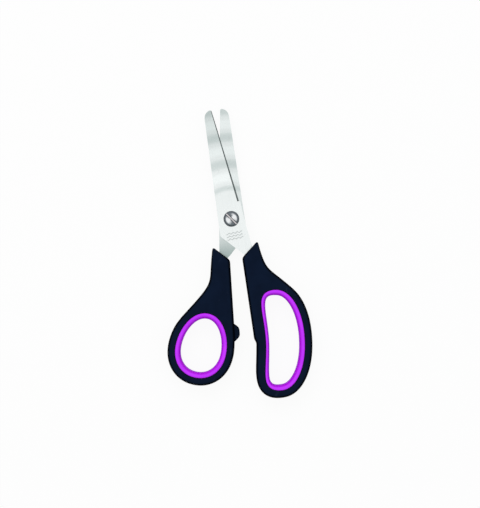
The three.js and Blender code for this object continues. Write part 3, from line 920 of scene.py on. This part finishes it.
# %% The line of the cutting edge, found on the outline
def edge_line(outline, half):
    """Both ends of the cutting edge, heel first: the outline's longest side above the screw
    on the edge's side of the blade."""
    best = None
    for start, end in zip(outline, outline[1:] + outline[:1]):
        a, b = [Matrix.Rotation(-half * lean, 2) @ (p - pivot) for p in (start, end)]
        beside = half * (a.x + b.x) > 0 and min(a.y, b.y) > 0
        if beside and (best is None or (end - start).length > (best[1] - best[0]).length):
            best = (start, end) if a.y < b.y else (end, start)
    return best


def cut_whole(bm, at, normal):
    whole = bm.verts[:] + bm.edges[:] + bm.faces[:]
    bmesh.ops.bisect_plane(
        bm, geom=whole, plane_co=at.to_3d(), plane_no=normal.to_3d(), dist=1e-7
    )


# %% Fill the flat outline and cut it into cells
def flat_sheet(outline, holes, height, half):
    bm = bmesh.new()
    rims = []
    for points in [outline] + holes:
        ring = [bm.verts.new((p.x, p.y, height)) for p in points]
        rims += [bm.edges.new((ring[i - 1], ring[i])) for i in range(len(ring))]
    bmesh.ops.triangle_fill(bm, use_beauty=True, edges=rims)
    local = [Matrix.Rotation(-half * lean, 2) @ (p - pivot) for p in outline]
    across, along = [Matrix.Rotation(half * lean, 2) @ Vector(v) for v in ((1, 0), (0, 1))]
    reach = WAVE_START - BLADE_CELL[1]
    while reach < max(p.y for p in local):
        cut_whole(bm, pivot + along * reach, along)
        reach += BLADE_CELL[1]
    reach = min(p.x for p in local) + BLADE_CELL[0]
    while reach < max(p.x for p in local):
        cut_whole(bm, pivot + across * reach, across)
        reach += BLADE_CELL[0]
    return bm


# %% Thicken the sheet and grind its cutting edge
def grind(bm, heel, tip, half):
    """Thickens the sheet away from the other blade and slopes its outer face down to the
    land along the cutting edge. The faces of the slope get the second material."""
    forward = (tip - heel).normalized()
    toward_edge = Vector((forward.y, -forward.x)) * half
    bevel_heel = heel - toward_edge * BEVEL_HEEL
    bevel_tip = tip - toward_edge * BEVEL_TIP
    run = (bevel_tip - bevel_heel).normalized()
    past_line = Vector((run.y, -run.x)) * half
    cut_whole(bm, bevel_heel, past_line)
    cut_whole(bm, heel, forward)
    cut_whole(bm, heel + forward * HEEL_SHOULDER, forward)
    raised = bmesh.ops.extrude_face_region(bm, geom=bm.faces[:])["geom"]
    top = [v for v in raised if isinstance(v, bmesh.types.BMVert)]
    bmesh.ops.translate(bm, verts=top, vec=(0, 0, half * SHEET))
    for v in top:
        along = (v.co.xy - heel).dot(forward)
        past = (v.co.xy - bevel_heel).dot(past_line)
        if along < HEEL_SHOULDER / 2 or past < 0:
            continue
        width = BEVEL_HEEL + (BEVEL_TIP - BEVEL_HEEL) * along / (tip - heel).length
        v.co.z -= half * (SHEET - EDGE_LAND) * min(1.0, past / width)
    bmesh.ops.recalc_face_normals(bm, faces=bm.faces)
    for f in bm.faces:
        f.material_index = 1 if 0.1 < abs(f.normal.z) < 0.98 else 0


# %% Build both blades
def make_blade(name, half, materials):
    """half is 1 for the blade whose edge is on +X and outer face on top, -1 for the other."""
    inner = handle_middle + half * BLADE_GAP / 2
    outline, *holes = outline_loops(name, inner + half * SHEET * LAND_SHARE, wave)
    holes = [smooth_loop(hole, HOLE_STEP) for hole in holes]
    bm = flat_sheet(outline, holes, inner, half)
    grind(bm, *edge_line(outline, half), half)
    soften(bm, SOFT_EDGE, radians(60))
    for v in bm.verts:
        v.co.z += wave(v.co)
    return make_piece(name + "_pressed", bm, materials, radians(15))


# Each place: which way the blade faces, its body, whether it is etched, and its painted light along
# the blade.
BLADE_PLACES = {
    "front": (1, "finger_half", True, FRONT_PAINTED_LIGHT),
    "rear": (-1, "thumb_half", False, REAR_PAINTED_LIGHT),
}
for place, (half, body, etched, stops) in BLADE_PLACES.items():
    sheet = blade_material(place + "_blade_steel", half * lean, etched, stops)
    ground = ground_material(place + "_bevel_painted_shade_steel", half * lean)
    blade = make_blade(place + "_blade", half, [sheet, ground])
    settle(blade, body, place + "_blade")

# %% [markdown]
# ## Screw, washer and nut
# All three are round about the screw's axis, so each is a section spun about it. The slot is
# cut with a Boolean. The nut is a turned ring, kept where it lies inside a six-sided bar by
# another Boolean. A small bevel takes the sharpness off the screw and the washer.

# %% Helpers for round parts
TURNS = 96
TURNED_SOFT = 0.06 * MM


def spun(section):
    """A closed solid from a section of (radius, height) points that starts and ends on the axis
    or closes on itself."""
    bm = bmesh.new()
    verts = [bm.verts.new((pivot.x + r, pivot.y, z)) for r, z in section]
    edges = [bm.edges.new(pair) for pair in zip(verts, verts[1:])]
    bmesh.ops.spin(
        bm,
        geom=verts + edges,
        cent=pivot.to_3d(),
        axis=(0, 0, 1),
        angle=2 * pi,
        steps=TURNS,
        use_merge=True,
    )
    bmesh.ops.remove_doubles(bm, verts=bm.verts, dist=1e-7)
    bmesh.ops.dissolve_degenerate(bm, edges=bm.edges, dist=1e-8)
    bmesh.ops.recalc_face_normals(bm, faces=bm.faces)
    return bm


def scratch_object(name, bm):
    mesh = bpy.data.meshes.new(name)
    bm.to_mesh(mesh)
    bm.free()
    made = bpy.data.objects.new(name, mesh)
    bpy.context.scene.collection.objects.link(made)
    return made


def combined(body, cutter, operation):
    """A bmesh of one solid cut by, or kept inside, another."""
    solid = scratch_object("solid", body)
    tool = scratch_object("tool", cutter)
    modifier = solid.modifiers.new("cut", "BOOLEAN")
    modifier.operation = operation
    modifier.solver = "EXACT"
    modifier.object = tool
    bpy.context.view_layer.update()
    result = bmesh.new()
    result.from_object(solid, bpy.context.evaluated_depsgraph_get())
    for scratch in (solid, tool):
        bpy.data.objects.remove(scratch)
    return result


# %% The screw, with its domed head and slot
SEAT_GAP = 0.05 * MM
HEAD_RIM = 0.6 * MM
HEAD_CHAMFER = 0.25 * MM
SLOT_DEPTH = 1.1 * MM
NEAR = 0.01 * MM
SHOULDER = 2.5 * MM
THREAD = 2.0 * MM
THREAD_CHAMFER = 0.3 * MM
DOME_LEDGE = 0.15 * MM  # level ring between the rim's chamfer and the dome
DOME_STEPS = 10

screw_low, screw_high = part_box("pivot_screw")
head = (screw_high.x - screw_low.x) / 2
head_under = handle_middle + BLADE_GAP / 2 + SHEET + SEAT_GAP
rim_top = head_under + HEAD_RIM
dome = screw_high.z - rim_top
section = [
    (0, screw_low.z),
    (THREAD - THREAD_CHAMFER, screw_low.z),
    (THREAD, screw_low.z + THREAD_CHAMFER),
    (THREAD, handle_middle),
    (SHOULDER, handle_middle),
    (SHOULDER, head_under),
    (head - HEAD_CHAMFER / 2, head_under),
    (head, head_under + HEAD_CHAMFER / 2),
    (head, rim_top - HEAD_CHAMFER),
    (head - HEAD_CHAMFER, rim_top),
]
crest = head - HEAD_CHAMFER - DOME_LEDGE
section.append((crest, rim_top))
for k in range(1, DOME_STEPS):
    turn = pi / 2 * k / DOME_STEPS
    section.append((crest * cos(turn), rim_top + dome * sin(turn)))
section.append((0, screw_high.z))
slot_tool = bmesh.new()
bmesh.ops.create_cube(slot_tool, size=1)
bmesh.ops.scale(slot_tool, vec=(3 * head, SLOT_WIDTH, 2 * SLOT_DEPTH), verts=slot_tool.verts)
bmesh.ops.rotate(slot_tool, matrix=Matrix.Rotation(SLOT_TURN, 3, "Z"), verts=slot_tool.verts)
bmesh.ops.translate(slot_tool, vec=(pivot.x, pivot.y, screw_high.z), verts=slot_tool.verts)
bm = combined(spun(section), slot_tool, "DIFFERENCE")
slot_floor = screw_high.z - SLOT_DEPTH
across_slot = Matrix.Rotation(SLOT_TURN, 2) @ Vector((0, 1))
# Faces in the slot take the slot steel with its painted shade.
for f in bm.faces:
    middle = f.calc_center_median()
    off_middle = abs((middle.xy - pivot).dot(across_slot))
    if off_middle < SLOT_WIDTH / 2 + NEAR and middle.z > slot_floor - NEAR:
        f.material_index = 1
soften(bm, TURNED_SOFT)
# The screw's steel, with its painted sheen fans and painted dark rim, is also given to the washer and
# the nut.
screw_steel = screw_material("polished_screw_steel", PAINTED_HIGHLIGHT_FAN, PAINTED_SHADE_FAN)
screw = make_piece("slotted_pivot_screw", bm, [screw_steel, slot_material()])
settle(screw, "screw", "pivot_screw")

# %% The wavy spring washer and the lock nut
washer_low, washer_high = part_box("spring_washer")
WASHER_BOW = 0.12 * MM
WASHER_CLEAR = 0.1 * MM  # round the thread
bore = THREAD + WASHER_CLEAR
washer_radius = (washer_high.x - washer_low.x) / 2
flat_low = washer_low.z + WASHER_BOW
flat_high = washer_high.z - WASHER_BOW
bm = spun(
    [
        (bore, flat_low),
        (washer_radius, flat_low),
        (washer_radius, flat_high),
        (bore, flat_high),
        (bore, flat_low),
    ]
)
soften(bm, TURNED_SOFT)
for v in bm.verts:
    around = v.co.xy - pivot
    v.co.z += WASHER_BOW * cos(2 * (atan2(around.y, around.x) - lean))
washer = make_piece("wavy_spring_washer", bm, [screw_steel])
settle(washer, "thumb_half", "spring_washer")

nut_low, nut_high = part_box("lock_nut")
ACROSS_FLATS = 7.0 * MM
corner = ACROSS_FLATS / sqrt(3)
NUT_CHAMFER = 0.35 * MM
BORE_CHAMFER = 0.25 * MM
nut_bore = THREAD + 0.05 * MM
past_corner = corner * 1.01
hexagon = bmesh.new()
bmesh.ops.create_cone(
    hexagon,
    cap_ends=True,
    segments=6,
    radius1=corner,
    radius2=corner,
    depth=nut_high.z - nut_low.z,
    matrix=Matrix.Translation((pivot.x, pivot.y, (nut_low.z + nut_high.z) / 2))
    @ Matrix.Rotation(pi / 6 - lean, 4, "Z"),
)
turned = spun(
    [
        (nut_bore, nut_low.z + BORE_CHAMFER),
        (nut_bore + BORE_CHAMFER, nut_low.z),
        (ACROSS_FLATS / 2, nut_low.z),
        (past_corner, nut_low.z + NUT_CHAMFER),
        (past_corner, nut_high.z - NUT_CHAMFER),
        (ACROSS_FLATS / 2, nut_high.z),
        (nut_bore + BORE_CHAMFER, nut_high.z),
        (nut_bore, nut_high.z - BORE_CHAMFER),
        (nut_bore, nut_low.z + BORE_CHAMFER),
    ]
)
bm = combined(hexagon, turned, "INTERSECT")
nut = make_piece("chamfered_lock_nut", bm, [screw_steel], radians(25))
settle(nut, "thumb_half", "lock_nut")

# %% [markdown]
# ## Stage
# A wide white floor, a bright even sky and one large soft lamp beyond the tips. The blades
# mirror the sky, so it is white overhead, dimmer behind the handles and dark near the
# horizon: a slope of the wave that faces the tips stays bright, one that faces the handles
# turns grey, and rounded rims pick up a dark line. To the camera itself the floor and the
# horizon are white, which keeps the shadow faint and the magenta's glow off the floor. Seen
# from below the floor is clear, so that the underside can be looked at.

# %% Floor
FLOOR_HALF = 3.0
FLOOR_GLOW = 0.93  # share of the floor that the camera sees as plain white

bm = bmesh.new()
bmesh.ops.create_grid(bm, x_segments=1, y_segments=1, size=FLOOR_HALF)
floor = scratch_object("floor", bm)
material, tree, shader, coordinates = start_material("floor_white", Roughness=0.9)
shader.inputs["Specular IOR Level"].default_value = 0.0
speckle = noise(tree, coordinates, 40.0)
feed(tree, shader, "Base Color", mix(tree, speckle, (0.70, 0.70, 0.70, 1), (0.72, 0.72, 0.72, 1)))
glow = node(tree, "ShaderNodeEmission")
ray = node(tree, "ShaderNodeLightPath")
blend = node(tree, "ShaderNodeMixShader")
feed(tree, blend, 0, math(tree, "MULTIPLY", ray.outputs["Is Camera Ray"], FLOOR_GLOW))
feed(tree, blend, 1, shader.outputs[0])
feed(tree, blend, 2, glow.outputs[0])
clear = node(tree, "ShaderNodeBsdfTransparent")
two_sided = node(tree, "ShaderNodeMixShader")
feed(tree, two_sided, 0, node(tree, "ShaderNodeNewGeometry").outputs["Backfacing"])
feed(tree, two_sided, 1, blend.outputs[0])
feed(tree, two_sided, 2, clear.outputs[0])
feed(tree, tree.nodes["Material Output"], "Surface", two_sided.outputs[0])
floor.data.materials.append(material)

# %% Sky
world = bpy.data.worlds.new("studio")
bpy.context.scene.world = world
world.use_nodes = True
tree = world.node_tree
direction = node(tree, "ShaderNodeTexCoord").outputs["Generated"]
split = node(tree, "ShaderNodeSeparateXYZ")
feed(tree, split, "Vector", direction)
facing = remap(tree, split.outputs["Y"], -0.80, -0.10, 0.0, 1.0, True)
beyond = remap(tree, split.outputs["Y"], 0.20, 0.80, 0.0, 1.0, True)
height = remap(tree, split.outputs["Z"], 0.08, 0.42, 0.0, 1.0, True)
sky = mix(tree, facing, (0.75, 0.785, 0.78, 1), (0.97, 0.97, 0.97, 1))
sky = mix(tree, beyond, sky, (1.08, 1.08, 1.08, 1))
sky = mix(tree, height, (0.10, 0.11, 0.12, 1), sky)
ray = node(tree, "ShaderNodeLightPath")
sky = mix(tree, ray.outputs["Is Camera Ray"], sky, (1.0, 1.0, 1.0, 1))
feed(tree, tree.nodes["Background"], "Color", sky)

# %% Lamp
LAMP_SIZE = (0.9, 0.6)
LAMP_PLACE = (-0.15, 0.75, 0.85)
LAMP_POWER = 5.0

lamp_data = bpy.data.lights.new("soft_lamp", "AREA")
lamp_data.shape = "RECTANGLE"
lamp_data.size, lamp_data.size_y = LAMP_SIZE
lamp_data.energy = LAMP_POWER
lamp = bpy.data.objects.new("soft_lamp", lamp_data)
lamp.location = LAMP_PLACE
aim = Vector((0, 0, 0)) - lamp.location
lamp.rotation_euler = aim.to_track_quat("-Z", "Y").to_euler()
lamp.visible_glossy = False
bpy.context.scene.collection.objects.link(lamp)

# %% [markdown]
# ## Camera
# A long lens straight above the scissors, turned a little so that they lean to the left.

# %% Camera
VIEW_HEIGHT = 284.5 * MM  # height of the field at the scissors
DISTANCE = 1.1
VIEW_TURN = radians(-8.2)
VIEW_CENTRE = Vector((7.34, 0.51, 5.5)) * MM
camera_data = bpy.data.cameras.new("camera")
camera_data.sensor_fit = "AUTO"
camera_data.sensor_width = 36
camera_data.lens = camera_data.sensor_width * DISTANCE / VIEW_HEIGHT
camera_data.clip_start = 0.01
camera = bpy.data.objects.new("camera", camera_data)
camera.location = VIEW_CENTRE + Vector((0, 0, DISTANCE))
camera.rotation_euler = (0, 0, VIEW_TURN)
bpy.context.scene.collection.objects.link(camera)
bpy.context.scene.camera = camera
bpy.context.scene.view_settings.view_transform = "Standard"
bpy.context.scene.view_settings.look = "None"
